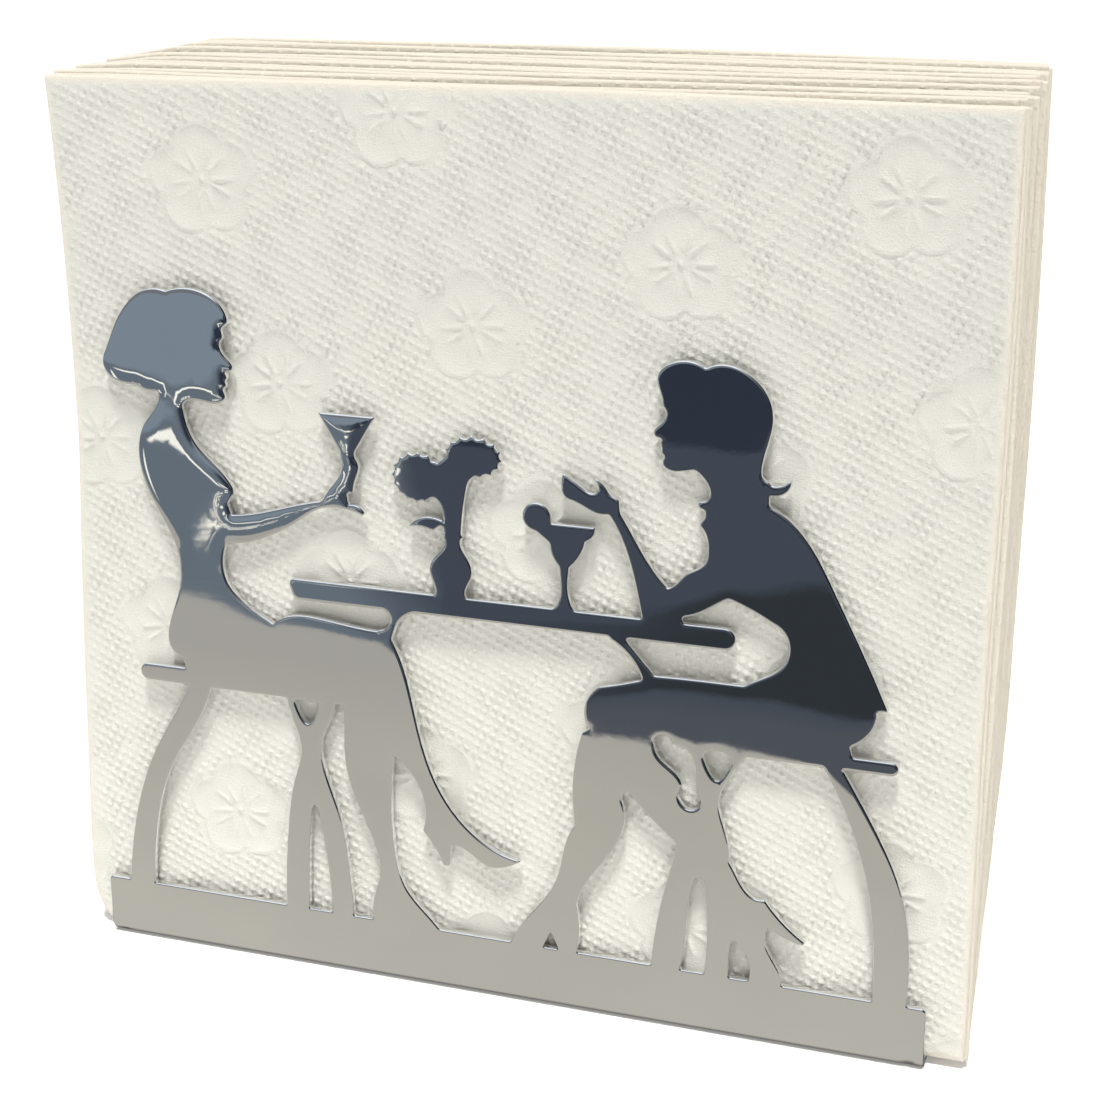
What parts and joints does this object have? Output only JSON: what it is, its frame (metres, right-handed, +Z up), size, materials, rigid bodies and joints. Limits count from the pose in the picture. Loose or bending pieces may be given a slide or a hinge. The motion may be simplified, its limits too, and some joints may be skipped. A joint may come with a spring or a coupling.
{
  "type": "napkin holder",
  "caption": "Upright table napkin holder: a folded chromed sheet trough whose tall sides are cut out as a bar-table scene, filled with embossed quarter-folded paper napkins.",
  "frame": {"origin": "middle of the flat underside of the holder's base, on the surface that it stands on", "axes": "+Z up; X along the holder's length; the front panel faces -Y and the rear panel +Y"},
  "size_m": [0.1666, 0.045, 0.1668],
  "materials": {
    "chromed_steel": "polished",
    "napkin_tissue": "matte"
  },
  "bodies": {
    "holder": {"holder": "chromed_steel"},
    "napkin_01": {"napkin_01": "napkin_tissue"},
    "napkin_02": {"napkin_02": "napkin_tissue"},
    "napkin_03": {"napkin_03": "napkin_tissue"},
    "napkin_04": {"napkin_04": "napkin_tissue"},
    "napkin_05": {"napkin_05": "napkin_tissue"},
    "napkin_06": {"napkin_06": "napkin_tissue"},
    "napkin_07": {"napkin_07": "napkin_tissue"},
    "napkin_08": {"napkin_08": "napkin_tissue"},
    "napkin_09": {"napkin_09": "napkin_tissue"},
    "napkin_10": {"napkin_10": "napkin_tissue"},
    "napkin_11": {"napkin_11": "napkin_tissue"},
    "napkin_12": {"napkin_12": "napkin_tissue"},
    "napkin_13": {"napkin_13": "napkin_tissue"},
    "napkin_14": {"napkin_14": "napkin_tissue"},
    "napkin_15": {"napkin_15": "napkin_tissue"},
    "napkin_16": {"napkin_16": "napkin_tissue"},
    "napkin_17": {"napkin_17": "napkin_tissue"},
    "napkin_18": {"napkin_18": "napkin_tissue"},
    "napkin_19": {"napkin_19": "napkin_tissue"},
    "napkin_20": {"napkin_20": "napkin_tissue"}
  },
  "joints": [
    {"name": "napkin_01_lift", "type": "slide", "parent": "holder", "child": "napkin_01", "axis": [0, 0, 1], "range_m": [0, 0.15]},
    {"name": "napkin_02_lift", "type": "slide", "parent": "holder", "child": "napkin_02", "axis": [0, 0, 1], "range_m": [0, 0.15]},
    {"name": "napkin_03_lift", "type": "slide", "parent": "holder", "child": "napkin_03", "axis": [0, 0, 1], "range_m": [0, 0.15]},
    {"name": "napkin_04_lift", "type": "slide", "parent": "holder", "child": "napkin_04", "axis": [0, 0, 1], "range_m": [0, 0.15]},
    {"name": "napkin_05_lift", "type": "slide", "parent": "holder", "child": "napkin_05", "axis": [0, 0, 1], "range_m": [0, 0.15]},
    {"name": "napkin_06_lift", "type": "slide", "parent": "holder", "child": "napkin_06", "axis": [0, 0, 1], "range_m": [0, 0.15]},
    {"name": "napkin_07_lift", "type": "slide", "parent": "holder", "child": "napkin_07", "axis": [0, 0, 1], "range_m": [0, 0.15]},
    {"name": "napkin_08_lift", "type": "slide", "parent": "holder", "child": "napkin_08", "axis": [0, 0, 1], "range_m": [0, 0.15]},
    {"name": "napkin_09_lift", "type": "slide", "parent": "holder", "child": "napkin_09", "axis": [0, 0, 1], "range_m": [0, 0.15]},
    {"name": "napkin_10_lift", "type": "slide", "parent": "holder", "child": "napkin_10", "axis": [0, 0, 1], "range_m": [0, 0.15]},
    {"name": "napkin_11_lift", "type": "slide", "parent": "holder", "child": "napkin_11", "axis": [0, 0, 1], "range_m": [0, 0.15]},
    {"name": "napkin_12_lift", "type": "slide", "parent": "holder", "child": "napkin_12", "axis": [0, 0, 1], "range_m": [0, 0.15]},
    {"name": "napkin_13_lift", "type": "slide", "parent": "holder", "child": "napkin_13", "axis": [0, 0, 1], "range_m": [0, 0.15]},
    {"name": "napkin_14_lift", "type": "slide", "parent": "holder", "child": "napkin_14", "axis": [0, 0, 1], "range_m": [0, 0.15]},
    {"name": "napkin_15_lift", "type": "slide", "parent": "holder", "child": "napkin_15", "axis": [0, 0, 1], "range_m": [0, 0.15]},
    {"name": "napkin_16_lift", "type": "slide", "parent": "holder", "child": "napkin_16", "axis": [0, 0, 1], "range_m": [0, 0.15]},
    {"name": "napkin_17_lift", "type": "slide", "parent": "holder", "child": "napkin_17", "axis": [0, 0, 1], "range_m": [0, 0.15]},
    {"name": "napkin_18_lift", "type": "slide", "parent": "holder", "child": "napkin_18", "axis": [0, 0, 1], "range_m": [0, 0.15]},
    {"name": "napkin_19_lift", "type": "slide", "parent": "holder", "child": "napkin_19", "axis": [0, 0, 1], "range_m": [0, 0.15]},
    {"name": "napkin_20_lift", "type": "slide", "parent": "holder", "child": "napkin_20", "axis": [0, 0, 1], "range_m": [0, 0.15]}
  ]
}
